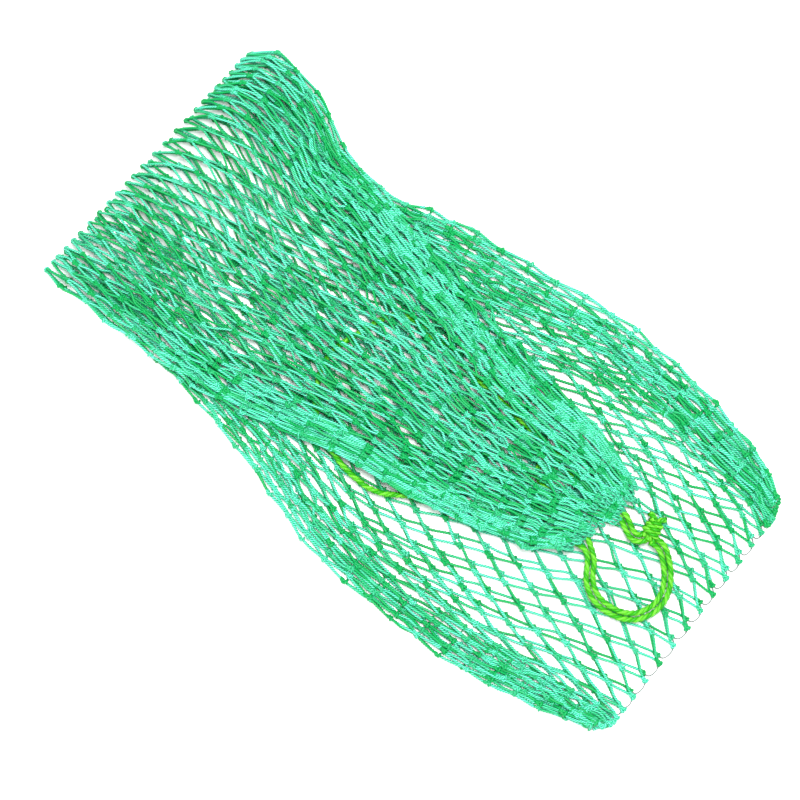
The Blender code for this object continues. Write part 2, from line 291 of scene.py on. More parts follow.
class Layout:
    """The place of every knot before easing, as rows along the bag by meshes round it."""

    def __init__(self):
        self.rng = np.random.default_rng(SEED)
        self.row = np.arange(ROWS + 1)[:, None] + np.zeros((1, AROUND))
        self.along = self.row / ROWS
        self.turn = np.arange(AROUND)[None, :] + 0.5 * (self.row % 2)
        self.outer = self.turn < HALF  # the layer that lies outermost at the fold
        self.column = np.where(self.outer, self.turn, AROUND - self.turn)
        self.folded_over = smoothstep(self.along, *OVER_FOLD)
        self.dense = self.crowding()
        self.column = self.wandered()
        lean = 1 + MOUTH_LEAN * smoothstep(self.along, *NARROWS)
        self.across = across_share(self.column, self.along) ** lean

        from_fold = self.row - BASE_ROWS
        pitch = np.where(from_fold < 0, BASE_LENGTH / BASE_ROWS, FLAP_LENGTH / FLAP_ROWS)
        self.arc = from_fold * pitch  # the way along the netting, below 0 on the base half
        self.depth, self.fold_level = self.round_the_fold()
        self.depth = self.uneven_depth()
        xy = np.where(
            (self.arc < 0)[..., None],
            on_half("base", np.clip(self.depth / BASE_LENGTH, 0, FARTHEST), self.across),
            on_half("flap", np.clip(self.depth / FLAP_LENGTH, 0, FARTHEST), self.across),
        )
        self.knots = np.concatenate([xy, self.heights(cord_clearance(xy))[..., None]], axis=-1)

    def uneven(self, along_passes, around_passes, shared):
        """A smooth random field, of which each mesh shares a part with the mesh that lies over it."""
        own = blurred(self.rng.standard_normal(self.row.shape), along_passes, around_passes)
        common = blurred(self.rng.standard_normal((ROWS + 1, HALF + 1)), along_passes, around_passes)
        picked = common[self.row.astype(int), np.clip(np.round(self.column), 0, HALF).astype(int)]
        return own * math.sqrt(1 - shared) + picked * math.sqrt(shared)

    def crowding(self):
        """1 in the bunched sides, 0 where the meshes stand open, and high over all of the mouth half."""
        front = np.interp(self.along, SPREAD_AT, SPREAD["front_count"])
        rear = np.interp(self.along, SPREAD_AT, SPREAD["rear_count"])
        bunched = np.maximum(
            1 - smoothstep(self.column - front, *BUNCH_EDGE),
            1 - smoothstep(HALF - self.column - rear, *BUNCH_EDGE),
        )
        return np.maximum(bunched, self.folded_over * FLAP_CROWDING)

    def wandered(self):
        """The columns, where the layers have slid over each other and the meshes have wandered."""
        slide = np.interp(self.along, SLIDE_AT, SLIDE)
        drift = np.where(self.outer, slide, -slide) * np.sin(math.pi * self.column / HALF)
        patches = PATCH_WANDER * self.uneven(6, 3, 0.85)
        wander = patches + (OPEN_WANDER + BUNCHED_WANDER * self.dense) * self.uneven(1, 0, 0.2)
        wander = wander + self.folded_over * FLAP_WANDER * self.uneven(6, 1, 0.0)
        wander = wander * np.interp(self.along, WANDER_AT, WANDER)
        edge_calm = smoothstep(self.column, 0, CALM_EDGE) * smoothstep(HALF - self.column, 0, CALM_EDGE)
        return np.clip(self.column + (drift + wander) * edge_calm, EDGE_ROOM, HALF - EDGE_ROOM)

    def round_the_fold(self):
        """How far each knot lies from the fold's edge, and its height on the fold's round."""
        layer = np.sin(math.pi * self.turn / HALF) * LAYER_STEEPNESS
        radius = FOLD_RADIUS + LAYER_STEP * np.clip(layer, -1, 1)  # 1 outer, -1 inner, 0 at the edges
        apex = np.where(self.outer, OUTER_APEX, INNER_APEX)
        bent = np.clip(np.abs(self.arc) / radius, 0, math.pi / 2)
        straight = np.clip(np.abs(self.arc) - radius * math.pi / 2, 0, None)
        depth = apex + radius * (1 - np.cos(bent)) + straight
        return depth, FOLD_Z + np.sign(self.arc) * radius * np.sin(bent)

    def uneven_depth(self):
        """The depth, with rows that swing and knots that jitter, and the bottom's corners rounded."""
        swing = (SWING + FLAP_SWING * self.folded_over) * self.dense * self.uneven(5, 4, 0.3)
        crowded_jitter = (BUNCHED_JITTER + FLAP_JITTER * self.folded_over) * self.dense
        jitter = (OPEN_JITTER + crowded_jitter) * self.uneven(0, 0, 0.0)
        jitter = jitter * np.interp(self.along, JITTER_AT, JITTER)
        inside = smoothstep(np.minimum(self.column, HALF - self.column), 0.0, EDGE_MESHES)
        moved = (swing + jitter * (EDGE_JITTER + (1 - EDGE_JITTER) * inside)) * MM
        off_fold, off_bottom = smoothstep(self.depth, *OFF_FOLD), np.clip(self.row / STILL_ROWS, 0, 1)
        depth = self.depth + moved * off_fold * off_bottom
        to_edge = BOTTOM_WIDTH * np.minimum(self.across, 1 - self.across)
        rounding = np.where(self.column < HALF / 2, FRONT_ROUNDING, REAR_ROUNDING)
        rounding = rounding * (1 - smoothstep(to_edge, 0.0, ROUNDING_REACH)) ** ROUNDING_POWER
        return depth - rounding * np.clip(1 - self.row / ROUNDED_ROWS, 0, 1)

    def heights(self, over_cord):
        """The knots' heights: four flat layers, lifted over the cord, and tumbled in the bunched sides."""
        on_base = self.arc < 0
        away = smoothstep(self.depth, *FLAP_SETTLES)
        base_level = np.where(self.outer, BASE_UNDER, BASE_TOP) * MM
        base_level = base_level + BASE_UNEVEN * MM * self.uneven(2, 1, 0.2)
        uneven = (FLAP_UNEVEN - FLAP_CALM * over_cord) * MM
        flap_under = (FLAP_UNDER + CORD_LIFT * over_cord) * MM + uneven * self.uneven(2, 1, 0.0)
        flap_level = np.where(self.outer, flap_under + FLAP_GAP * MM, flap_under)
        flat_level = np.where(on_base, base_level, flap_level)
        settled = np.where(on_base, smoothstep(self.depth, *BASE_SETTLES), away)
        z = self.fold_level + (flat_level - self.fold_level) * settled

        from_edge = np.minimum(self.column, HALF - self.column)
        bunch = np.maximum(
            1 - smoothstep(self.column, BUNCH_CORE, SPREAD["front_count"][1]),
            1 - smoothstep(HALF - self.column, BUNCH_CORE, SPREAD["rear_count"][1]),
        )
        tumble = np.clip(TUMBLE * self.uneven(1, 0, 0.0), -1, 1)
        rise = np.where(on_base, BASE_BUNCH_RISE * MM, FLAP_BUNCH_RISE * MM) * away
        middle = np.where(on_base, BASE_BUNCH * MM, flap_under + FLAP_BUNCH * MM)
        round_back = np.sqrt(np.clip(1 - (1 - np.clip(from_edge / ROUND_BACK, 0, 1)) ** 2, 0.05, 1))
        return z + (middle + rise * tumble * round_back - z) * bunch * away


def bar_ends():
    """Index pairs of the knots that each bar joins, for bars that go up round the bag and down round it."""
    row = np.arange(ROWS)[:, None] + np.zeros((1, AROUND), int)
    here = np.arange(AROUND)[None, :] + np.zeros((ROWS, 1), int)
    up = (here + row % 2) % AROUND
    down = (here + row % 2 - 1) % AROUND
    return row, here, up, down


EASING_PASSES = 80
EASING_STEP = 1.4
SLACKEST = 0.80 * BAR
HOLD = np.array([0.03, 0.05, 0.6])  # how firmly a knot keeps to its laid-out place, along X, Y and Z


def eased(target):
    """The knots moved until hardly a bar is longer than it was netted, and few are slack."""
    knots = target.copy()
    row, here, up, down = bar_ends()
    for _ in range(EASING_PASSES):
        push = np.zeros_like(knots)
        count = np.zeros(knots.shape[:2])
        for other in (up, down):
            a, b = knots[row, here], knots[row + 1, other]
            span = b - a
            length = np.linalg.norm(span, axis=-1, keepdims=True)
            wanted = np.clip(length, SLACKEST, BAR)
            move = span * (0.5 * (1 - wanted / length))
            np.add.at(push, (row, here), move)
            np.add.at(push, (row + 1, other), -move)
            np.add.at(count, (row, here), 1)
            np.add.at(count, (row + 1, other), 1)
        knots = knots + push / np.maximum(count, 1)[..., None] * EASING_STEP
        knots = knots + (target - knots) * HOLD
        knots[0] = target[0]
        knots[-1] = target[-1]
    return knots


# ---------------------------------------------------------------- twine, as closed tubes
KNOT_FORE, KNOT_AFT, KNOT_SIDE = 2.3, 1.7, 0.55  # where a knot's legs leave it, in its own units
KNOT_UNIT = 0.88 * MM  # drawn tight, a knot is smaller than loose twine would make it
KNOT_TWINE = 0.92  # its twine is drawn thinner too
LOBES = np.array([TWINE_R, GROOVE_R] * 3)
# At shares of the length from the bottom, how thick the twine and its knots are drawn, after the photo.
FINE_AT, FINE = [0.30, 0.48, 0.60, 0.74, 0.88, 1.0], [1.0, 0.82, 0.82, 0.94, 0.94, 0.86]
RING_STEP = 0.47 * MM
LOWEST = 0.02 * MM  # nothing goes below the floor


def unit(v):
    """The vectors at length 1."""
    return v / np.maximum(np.linalg.norm(v, axis=-1, keepdims=True), 1e-12)


def carried_frames(paths):
    """Along each path, a direction across it that never twists, and the one square to both."""
    ahead = unit(np.gradient(paths, axis=1))
    helper = np.where(np.abs(ahead[:, 0, 2:]) > 0.8, (1.0, 0.0, 0.0), (0.0, 0.0, 1.0))
    normal = unit(np.cross(ahead[:, 0], helper))
    normals = []
    for k in range(paths.shape[1]):
        normal = unit(normal - (normal * ahead[:, k]).sum(-1, keepdims=True) * ahead[:, k])
        normals.append(normal)
    normals = np.stack(normals, axis=1)
    return normals, np.cross(ahead, normals)


def swept(paths, profile, lay, phase, thick=1.0):
    """Closed tubes along many paths at once, their section twisted once in each lay.

    Gives the points, the four-cornered faces and how proud each point stands, 0 to 1."""
    tubes, rings, sides = paths.shape[0], paths.shape[1], len(profile)
    normals, across = carried_frames(paths)
    steps = np.linalg.norm(np.diff(paths, axis=1), axis=-1)
    run = np.concatenate([np.zeros((tubes, 1)), np.cumsum(steps, axis=1)], axis=1)
    angle = (phase[:, None] - 2 * math.pi * run / lay)[..., None] + 2 * math.pi * np.arange(sides) / sides
    radius = profile * np.reshape(thick, (-1, 1, 1))
    points = (
        paths[:, :, None]
        + (radius * np.cos(angle))[..., None] * normals[:, :, None]
        + (radius * np.sin(angle))[..., None] * across[:, :, None]
    )
    j = np.arange(sides)
    after = (j + 1) % sides
    first = np.arange(rings - 1)[:, None] * sides
    wall = np.stack([first + j, first + after, first + sides + after, first + sides + j], -1).reshape(-1, 4)
    fan = np.array([(0, 2 * k + 1, 2 * k + 2, 2 * k + 3) for k in range(sides // 2 - 1)])
    faces = np.concatenate([wall, fan[:, ::-1], fan + (rings - 1) * sides])
    faces = (np.arange(tubes)[:, None, None] * rings * sides + faces).reshape(-1, 4)
    proud = (profile - profile.min()) / max(np.ptp(profile), 1e-9)
    return points.reshape(-1, 3), faces, np.tile(proud, tubes * rings)


def joined(parts):
    """Several (points, faces, proud, light_and_tone) as one."""
    start, faces = 0, []
    for part in parts:
        faces.append(part[1] + start)
        start += len(part[0])
    return (
        np.concatenate([part[0] for part in parts]),
        np.concatenate(faces),
        np.concatenate([part[2] for part in parts]),
        np.concatenate([part[3] for part in parts]),
    )


def mesh_object(name, part, material):
    """One smooth-shaded mesh from four-cornered faces, with its lay and its painted light and tone kept on
    the points.
    """
    points, faces, proud, light_and_tone = part
    points = np.concatenate([points[:, :2], np.maximum(points[:, 2:], LOWEST)], axis=1)
    mesh = bpy.data.meshes.new(name)
    mesh.vertices.add(len(points))
    mesh.vertices.foreach_set("co", points.astype(np.float32).ravel())
    mesh.loops.add(faces.size)
    mesh.loops.foreach_set("vertex_index", faces.astype(np.int32).ravel())
    mesh.polygons.add(len(faces))
    mesh.polygons.foreach_set("loop_start", np.arange(0, faces.size, 4, dtype=np.int32))
    mesh.update(calc_edges=True)
    mesh.polygons.foreach_set("use_smooth", np.ones(len(faces), bool))
    for attribute, values in (("lay", proud), ("light_and_tone", light_and_tone)):
        stored = mesh.attributes.new(attribute, "FLOAT", "POINT")
        stored.data.foreach_set("value", values.astype(np.float32))
    mesh.materials.append(material)
    piece = bpy.data.objects.new(name, mesh)
    bpy.context.scene.collection.objects.link(piece)
    return piece


# A sheet bend: the bight that comes up from one mesh, and the twine that goes round it.
BIGHT = [(-1.7, 0.55, 0), (0.6, 0.6, 0), (1.5, 0, 0), (0.6, -0.6, 0), (-1.7, -0.55, 0)]
WRAP = [
    (2.3, 0.55, 0), (1.2, 0.25, -0.45), (0.3, 0, 0.1), (-0.5, 0.2, 0.95), (-0.9, 1.25, 0.3),
    (-0.9, 0.9, -0.75), (-0.8, -0.6, -0.95), (-0.7, -1.3, 0.1), (-0.1, -0.7, 0.9),
    (0.8, -0.1, 0.8), (1.5, -0.4, 0.3), (2.3, -0.55, 0),
]


def knot_shape(hand):
    """A tied knot about the origin, its legs along X, tied right- or left-handed."""
    parts = []
    for course in (BIGHT, WRAP):
        points = smooth_route(np.array(course) * KNOT_UNIT * (1, hand, 1), RING_STEP)
        parts.append((*swept(points[None], LOBES * KNOT_TWINE, TWINE_LAY, np.zeros(1)), np.zeros(1)))
    points, faces, proud, _ = joined(parts)
    return points, faces, proud


def turned(ahead, across, up, angle_in_plane, angle_tilt):
    """The three directions, turned a little in their plane and about the way ahead."""
    c, s = np.cos(angle_in_plane)[..., None], np.sin(angle_in_plane)[..., None]
    ahead, across = ahead * c + across * s, across * c - ahead * s
    c, s = np.cos(angle_tilt)[..., None], np.sin(angle_tilt)[..., None]
    return ahead, across * c + up * s, up * c - across * s


KNOT_YAW, KNOT_TILT = 0.12, 0.35  # spreads, in radians
KNOT_SIZES = (0.92, 1.08)
LOWEST_KNOT = 1.25 * MM
LOWEST_BAR = 0.62 * MM  # of a bar's middle line
LEAST_SLACK = 0.02 * MM
OPEN_MESH, OPEN_STRAIGHT = (5 * MM, 14 * MM), 0.85  # an open mesh's bars are nearly straight
EDGE_BOW, EDGE_BOW_MESHES = 0.25, 2.0  # and so are those at the very edge
BAR_RINGS = 20
BOW_MOST = 0.8 * MM
BOW_ACROSS, BOW_UP = 0.8, 0.35
LEAVING = 0.3  # how much a bar leaves its knot in the knot's own direction
KNOT_LIGHT_AND_TONE, BAR_LIGHT_AND_TONE = (-0.4, 1.0), (-0.35, 1.45)  # below 0 is deep shade, and above 1 full light
# Painted shade on the hidden layer, painted light along the bunched sides of the layer that shows, and
# painted light and shade in random patches.
UNDER_SHADE, RIDGE_LIGHT, PATCH_LIGHT = -0.15, 0.32, 0.24
RIDGE_MESHES = (2.0, 8.0)


class Netting:
    """The eased netting: where each knot is, which way its legs point, and its twine."""

    def __init__(self):
        layout = Layout()
        self.turn, self.along = layout.turn, layout.along
        self.knots = eased(layout.knots)
        self.knots[..., 2] = np.maximum(self.knots[..., 2], LOWEST_KNOT)
        self.rng = np.random.default_rng(SEED + 1)
        self.row, self.here, self.up, self.down = bar_ends()
        column = np.where(self.turn < HALF, self.turn, AROUND - self.turn)
        self.from_edge = np.minimum(column, HALF - column)
        self.aim_knots()
        drawn_tight = np.interp(self.along, FINE_AT, FINE)
        self.size = self.rng.uniform(*KNOT_SIZES, self.along.shape) * drawn_tight
        self.thick = drawn_tight
        self.hand = self.rng.random(self.along.shape) < 0.5
        self.paint_twine_light()
        self.bow = self.rng.normal(0, 1, (2, 2, ROWS, AROUND))
        self.phase = self.rng.uniform(0, 2 * math.pi, (2, ROWS, AROUND))
        self.shapes = {True: knot_shape(1), False: knot_shape(-1)}

    def aim_knots(self):
        """Each knot's directions, from the bars that leave it, and how loose its bars are."""
        ahead = np.zeros_like(self.knots)
        for other in (self.up, self.down):
            span = unit(self.knots[self.row + 1, other] - self.knots[self.row, self.here])
            np.add.at(ahead, (self.row, self.here), span)
            np.add.at(ahead, (self.row + 1, other), span)
        ahead = unit(ahead)
        across = np.roll(self.knots, -1, 1) - np.roll(self.knots, 1, 1)
        self.loose = 1 - OPEN_STRAIGHT * smoothstep(np.linalg.norm(across, axis=-1), *OPEN_MESH)
        self.loose *= EDGE_BOW + (1 - EDGE_BOW) * smoothstep(self.from_edge, 0.0, EDGE_BOW_MESHES)
        across = unit(across - (across * ahead).sum(-1, keepdims=True) * ahead)
        above = np.cross(ahead, across)
        yaw = self.rng.normal(0, KNOT_YAW, self.along.shape)
        tilt = self.rng.normal(0, KNOT_TILT, self.along.shape)
        self.ahead, self.across, self.above = turned(ahead, across, above, yaw, tilt)

    def paint_twine_light(self):
        """How much painted light each knot and bar takes in its colour: painted shade on the layer that
        lies hidden, painted light along the bunched sides of the layer that shows, and random patches of
        painted light and shade.
        """
        shows = np.where(self.along < BASE_ROWS / ROWS, self.turn >= HALF, self.turn < HALF)
        ridge = 1 - smoothstep(self.from_edge, *RIDGE_MESHES)
        lit = np.where(shows, 0.0, UNDER_SHADE) + RIDGE_LIGHT * ridge * shows
        lit = lit + PATCH_LIGHT * blurred(self.rng.standard_normal(self.along.shape), 3, 3)
        self.light_and_tone = np.clip(self.rng.uniform(*KNOT_LIGHT_AND_TONE, self.along.shape) + lit, 0, 1)
        self.bar_light_and_tone = np.clip(self.rng.uniform(*BAR_LIGHT_AND_TONE, (2, ROWS, AROUND)) + lit[:ROWS], 0, 1)

    def leg(self, r, c, fore, side):
        """Where a knot's leg ends, ahead of it or behind it, on one side or the other."""
        reach = (KNOT_FORE if fore > 0 else -KNOT_AFT) * KNOT_UNIT
        return self.knots[r, c] + self.size[r, c][..., None] * (
            self.ahead[r, c] * reach + self.across[r, c] * (side * KNOT_SIDE * KNOT_UNIT)
        )

    def bars(self, chosen):
        """The bars that start at the chosen knots, as one set of tubes for each of the two ways."""
        parts = []
        t = np.linspace(0, 1, BAR_RINGS)[None, :, None]
        hump = np.sin(math.pi * t) ** 1.5
        r, c = np.nonzero(chosen[:ROWS])
        for way, (other, side) in enumerate(((self.up, 1), (self.down, -1))):
            o = other[r, c]
            start, end = self.leg(r, c, 1, side), self.leg(r + 1, o, -1, -side)
            span = end - start
            length = np.linalg.norm(span, axis=-1, keepdims=True)
            apart = np.linalg.norm(self.knots[r + 1, o] - self.knots[r, c], axis=-1)
            slack = np.clip(BAR - apart, LEAST_SLACK, None)
            arc_height = np.sqrt(0.375 * slack * length[:, 0])  # of a flat arc that is longer by its slack
            bow = arc_height.clip(0, BOW_MOST) * self.loose[r, c]
            t_start = unit(self.ahead[r, c] * LEAVING + unit(span)) * length
            t_end = unit(self.ahead[r + 1, o] * LEAVING + unit(span)) * length
            path = (
                (2 * t**3 - 3 * t**2 + 1) * start[:, None]
                + (t**3 - 2 * t**2 + t) * t_start[:, None]
                + (3 * t**2 - 2 * t**3) * end[:, None]
                + (t**3 - t**2) * t_end[:, None]
            )
            sway = self.bow[way, :, r, c] * bow[:, None] * (BOW_ACROSS, BOW_UP)
            sway = sway[:, :1] * self.across[r, c] + sway[:, 1:] * self.above[r, c]
            path = path + hump * sway[:, None]
            path[..., 2] = np.maximum(path[..., 2], LOWEST_BAR)
            made = swept(path, LOBES, TWINE_LAY, self.phase[way, r, c], self.thick[r, c])
            parts.append((*made, np.repeat(self.bar_light_and_tone[way, r, c], BAR_RINGS * len(LOBES))))
        return parts

    def ties(self, chosen):
        """The knots tied at the chosen places."""
        parts = []
        for hand, (points, faces, proud) in self.shapes.items():
            r, c = np.nonzero(chosen & (self.hand == hand))
            if not len(r):
                continue
            frame_of = np.stack([self.ahead[r, c], self.across[r, c], self.above[r, c]], axis=1)
            frame_of = frame_of * self.size[r, c][:, None, None]
            placed = points @ frame_of + self.knots[r, c][:, None]
            all_faces = (np.arange(len(r))[:, None, None] * len(points) + faces).reshape(-1, 4)
            light_and_tone = np.repeat(self.light_and_tone[r, c], len(points))
            parts.append((placed.reshape(-1, 3), all_faces, np.tile(proud, len(r)), light_and_tone))
        return parts

    def panel(self, name, rows, layer, material):
        """One panel of netting: the knots of some rows, on one layer or both, and the bars from them."""
        r = np.arange(ROWS + 1)[:, None]
        outer = self.turn < HALF
        in_layer = {"outer": outer, "inner": ~outer, "both": np.ones_like(outer)}[layer]
        chosen = (r >= rows[0]) & (r < rows[1]) & in_layer
        piece = mesh_object(name, joined(self.bars(chosen) + self.ties(chosen)), material)
        return piece


# ---------------------------------------------------------------- the netting's two ends
BIGHT_RINGS = 20
BIGHT_REACH, BIGHT_DROP, BIGHT_WIDTH = (1.2, 3.0), (0.6, 2.4), (0.65, 0.9)  # in mm, least and most
BIGHT_WAIST = 0.45  # of its reach
TIP_WIDTH, TIP_OUT = 0.7, 0.5  # of its width, and in mm past its reach
# the mouth loops' place on the painted light-and-tone scale
BIGHT_LIGHT_AND_TONE = 0.6
CLOSING_R = 0.3 * MM
CLOSING_RINGS = 22
CLOSING_SIDES = 6
BULGE_SHARE, BULGE_LEAST, BULGE_MOST = 0.45, 0.8 * MM, 2.6 * MM
SHOULDER = 0.42  # of the bulge
OFF_FLOOR = 1.05  # of its radius


def twine_course(name, paths, profile, material, light_and_tone, thick=1.0):
    """One piece from loose twine along many paths."""
    phase = np.random.default_rng(len(paths)).uniform(0, 2 * math.pi, len(paths))
    made = swept(paths, profile, TWINE_LAY, phase, thick)
    return mesh_object(name, (*made, np.full(len(made[0]), light_and_tone)), material)


def smooth_courses(corners, rings):
    """A smooth path through each row of corners, all with the same number of points."""
    return np.stack([resampled(smooth_route(points, RING_STEP), rings) for points in corners])


def mouth_bights(net, material):
    """The loops that end the netting at the mouth, one from each knot of the last row."""
    c = np.arange(AROUND)
    r = np.full(AROUND, ROWS)
    rng = np.random.default_rng(SEED + 2)
    ahead, across = net.ahead[r, c], net.across[r, c]
    reach = rng.uniform(*BIGHT_REACH, AROUND)[:, None] * MM
    tip = net.knots[r, c] + ahead * (KNOT_FORE * KNOT_UNIT + reach)
    tip[:, 2] -= rng.uniform(*BIGHT_DROP, AROUND) * MM
    wide = across * rng.uniform(*BIGHT_WIDTH, AROUND)[:, None] * MM
    waist = net.knots[r, c] + ahead * (KNOT_FORE * KNOT_UNIT + BIGHT_WAIST * reach)
    corners = [
        net.leg(r, c, 1, 1), waist + wide, tip + wide * TIP_WIDTH, tip + ahead * TIP_OUT * MM,
        tip - wide * TIP_WIDTH, waist - wide, net.leg(r, c, 1, -1),
    ]
    paths = smooth_courses(np.stack(corners, axis=1), BIGHT_RINGS)
    return twine_course("mouth_bights", paths, LOBES, material, BIGHT_LIGHT_AND_TONE, FINE[-1])


def closing_twine(net, material):
    """The thin twine that closes the bottom: a low arc on the ground from each tip to the next."""
    c = np.arange(HALF)
    r = np.zeros(HALF, int)
    start, end = net.leg(r[:-1], c[:-1], -1, 1), net.leg(r[1:], c[1:], -1, -1)
    out = -unit(net.ahead[r[:-1], c[:-1]] + net.ahead[r[1:], c[1:]])
    apart = np.linalg.norm(end - start, axis=-1, keepdims=True)
    bulge = np.clip(BULGE_SHARE * apart, BULGE_LEAST, BULGE_MOST)
    middle = (start + end) / 2 + out * bulge
    low = np.array([1, 1, 0])
    floor = np.array([0, 0, CLOSING_R * OFF_FLOOR])
    shoulder = out * bulge * SHOULDER * low
    corners = [
        start, (start * 3 + middle) / 4 * low + floor + shoulder, middle * low + floor,
        (end * 3 + middle) / 4 * low + floor + shoulder, end,
    ]
    paths = smooth_courses(np.stack(corners, axis=1), CLOSING_RINGS)
    section = np.full(CLOSING_SIDES, CLOSING_R)
    return twine_course("bottom_closing_twine", paths, section, material, 0.0)


# ---------------------------------------------------------------- the drawcord
STRAND_R, STRAND_OFF = 0.84 * MM, 0.60 * MM
STRAND_LAY = 2.2 * MM
STRAND_PROFILE = STRAND_R * np.array([1.0, 0.94] * 5)
CORD_STEP = 0.5 * MM


def laid_rope(route, phase=0.0):
    """Three strands laid round one route, as tubes."""
    normals, across = (f[0] for f in carried_frames(route[None]))
    run = run_along(route)
    parts = []
    for strand in range(3):
        angle = phase + 2 * math.pi * (strand / 3 - run / CORD_LAY)
        path = route + STRAND_OFF * (np.cos(angle)[:, None] * normals + np.sin(angle)[:, None] * across)
        made = swept(path[None], STRAND_PROFILE, STRAND_LAY, np.zeros(1))
        # Each strand takes its own place on the light-and-tone scale: the first the darkest, the last the
        # lightest.
        parts.append((*made, np.full(len(made[0]), strand / 2)))
    return joined(parts)


# The knot, in millimetres: where its turns begin, which way it stands, and the strands inside it.
KNOT_FOOT = np.array([106.4, 16.8, 8.9])
KNOT_AXIS = np.array([-0.184, 0.983, 0.0])
KNOT_SIDEWAYS = np.array([0.983, 0.184, 0.0])
KNOT_CORES = [
    [
        (104.7, 15.6, 7.4), (104.9, 17.0, 7.8), (105.0, 19.0, 8.4),
        (105.2, 22.0, 8.9), (106.0, 24.6, 9.2), (107.6, 26.4, 9.2),
    ],
    [(107.6, 15.4, 7.5), (107.2, 17.4, 7.8), (106.7, 19.8, 8.6), (105.9, 22.0, 9.0), (105.3, 24.0, 9.2)],
    [(106.0, 15.6, 7.4), (106.1, 17.0, 7.8), (105.9, 19.2, 8.2), (105.6, 22.4, 8.5), (105.5, 24.4, 8.5)],
]
WRAP_START = [(109.7, 14.8, 7.4), (109.6, 16.6, 7.4)]
WRAP_TAIL = [(103.8, 23.6, 10.8), (102.2, 24.2, 10.4), (100.8, 24.2, 9.9)]
KNOT_TURNS, TURN_POINTS, FIRST_TURN = 2.6, 24, -0.1
KNOT_BASE, KNOT_RISE = 1.0, 5.4  # how far up the knot its turns begin, and how much of it they cover
KNOT_WIDE, KNOT_TAPER, KNOT_FLAT = 2.75, 0.55, 0.82
CORE_PHASE = 1.3


def knot_turns():
    """The points of the strand that goes round the knot, narrower turn by turn."""
    up = np.array([0.0, 0.0, 1.0])
    points = []
    for k in range(TURN_POINTS):
        share = k / (TURN_POINTS - 1)
        angle = 2 * math.pi * (KNOT_TURNS * share + FIRST_TURN)
        wide = KNOT_WIDE - KNOT_TAPER * share
        sideways = KNOT_SIDEWAYS * math.cos(angle) * wide
        points.append(
            KNOT_FOOT + KNOT_AXIS * (KNOT_BASE + KNOT_RISE * share)
            + sideways + up * math.sin(angle) * wide * KNOT_FLAT
        )
    return points


def knot_piece(material):
    """The drawcord's knot: one strand goes round the others, and both cut ends stick out past it."""
    courses = [[*WRAP_START, *knot_turns(), *WRAP_TAIL], *KNOT_CORES]
    parts = [
        laid_rope(smooth_route(np.array(course) * MM, CORD_STEP), CORE_PHASE * k)
        for k, course in enumerate(courses)
    ]
    return mesh_object("drawcord_tied_knot", joined(parts), material)


# ---------------------------------------------------------------- materials
FIBRE_SPECK = 900.0  # the scale of the fibre's mottling
DEEP_SHARE_AT_ZERO = 0.95  # how much of the deep colour, the most painted shade, a length at 0 on the light-and-tone scale takes


def node_material(name, roughness):
    """A new material with its node tree's parts."""
    material = bpy.data.materials.new(name)
    material.use_nodes = True
    nodes, links = material.node_tree.nodes, material.node_tree.links
    surface = nodes["Principled BSDF"]
    surface.inputs["Roughness"].default_value = roughness
    return material, nodes, links, surface


def blend_colours(nodes, links, factor, a, b):
    """From a to b by the factor. Each is a colour or another node's output."""
    mix = nodes.new("ShaderNodeMix")
    mix.data_type = "RGBA"
    links.new(factor, mix.inputs[0])
    for socket, value in ((mix.inputs[6], a), (mix.inputs[7], b)):
        if isinstance(value, tuple):
            socket.default_value = (*value, 1)
        else:
            links.new(value, socket)
    return mix.outputs[2]


def mapped(nodes, links, value, given, wanted, way="LINEAR"):
    """The value, with the range that is given stretched to the range that is wanted."""
    ramp = nodes.new("ShaderNodeMapRange")
    ramp.interpolation_type = way
    ramp.inputs["From Min"].default_value, ramp.inputs["From Max"].default_value = given
    ramp.inputs["To Min"].default_value, ramp.inputs["To Max"].default_value = wanted
    links.new(value, ramp.inputs["Value"])
    return ramp.outputs["Result"]


def mottling(nodes, links, scale, detail=2.0):
    """Noise that stays with the object."""
    noise = nodes.new("ShaderNodeTexNoise")
    noise.inputs["Scale"].default_value = scale
    noise.inputs["Detail"].default_value = detail
    links.new(nodes.new("ShaderNodeTexCoord").outputs["Object"], noise.inputs["Vector"])
    return noise.outputs["Fac"]


def fibre_material(name, crest_highlight, groove_shade, deep_shade_and_mottle, roughness, gloss):
    """Twisted plastic fibre: a painted highlight on the strands' crests, painted shade in the grooves
    between them, random mottling, and each length a little lighter or darker by its painted light and tone.
    """
    material, nodes, links, surface = node_material(name, roughness)
    lay, light_and_tone = nodes.new("ShaderNodeAttribute"), nodes.new("ShaderNodeAttribute")
    lay.attribute_name, light_and_tone.attribute_name = "lay", "light_and_tone"
    noise = mottling(nodes, links, FIBRE_SPECK, 3)
    # Painted highlight on the lay's crests and painted shade in its grooves, by how proud each point
    # stands.
    on_crest = mapped(nodes, links, lay.outputs["Fac"], (0.30, 0.95), (0, 1), "SMOOTHSTEP")
    strand = blend_colours(nodes, links, on_crest, groove_shade, crest_highlight)
    # Random fibre mottling towards the deep colour.
    mottled = blend_colours(nodes, links, mapped(nodes, links, noise, (0.25, 0.8), (0, 0.55)), strand, deep_shade_and_mottle)
    # Painted shade: a length low on the light-and-tone scale takes more of the deep colour.
    darker = mapped(nodes, links, light_and_tone.outputs["Fac"], (0.0, 0.85), (DEEP_SHARE_AT_ZERO, 0.0))
    links.new(blend_colours(nodes, links, darker, mottled, deep_shade_and_mottle), surface.inputs["Base Color"])
    bump = nodes.new("ShaderNodeBump")
    bump.inputs["Strength"].default_value = 0.25
    bump.inputs["Distance"].default_value = 0.0001
    links.new(noise, bump.inputs["Height"])
    links.new(bump.outputs["Normal"], surface.inputs["Normal"])
    surface.inputs["Specular IOR Level"].default_value = gloss
    return material


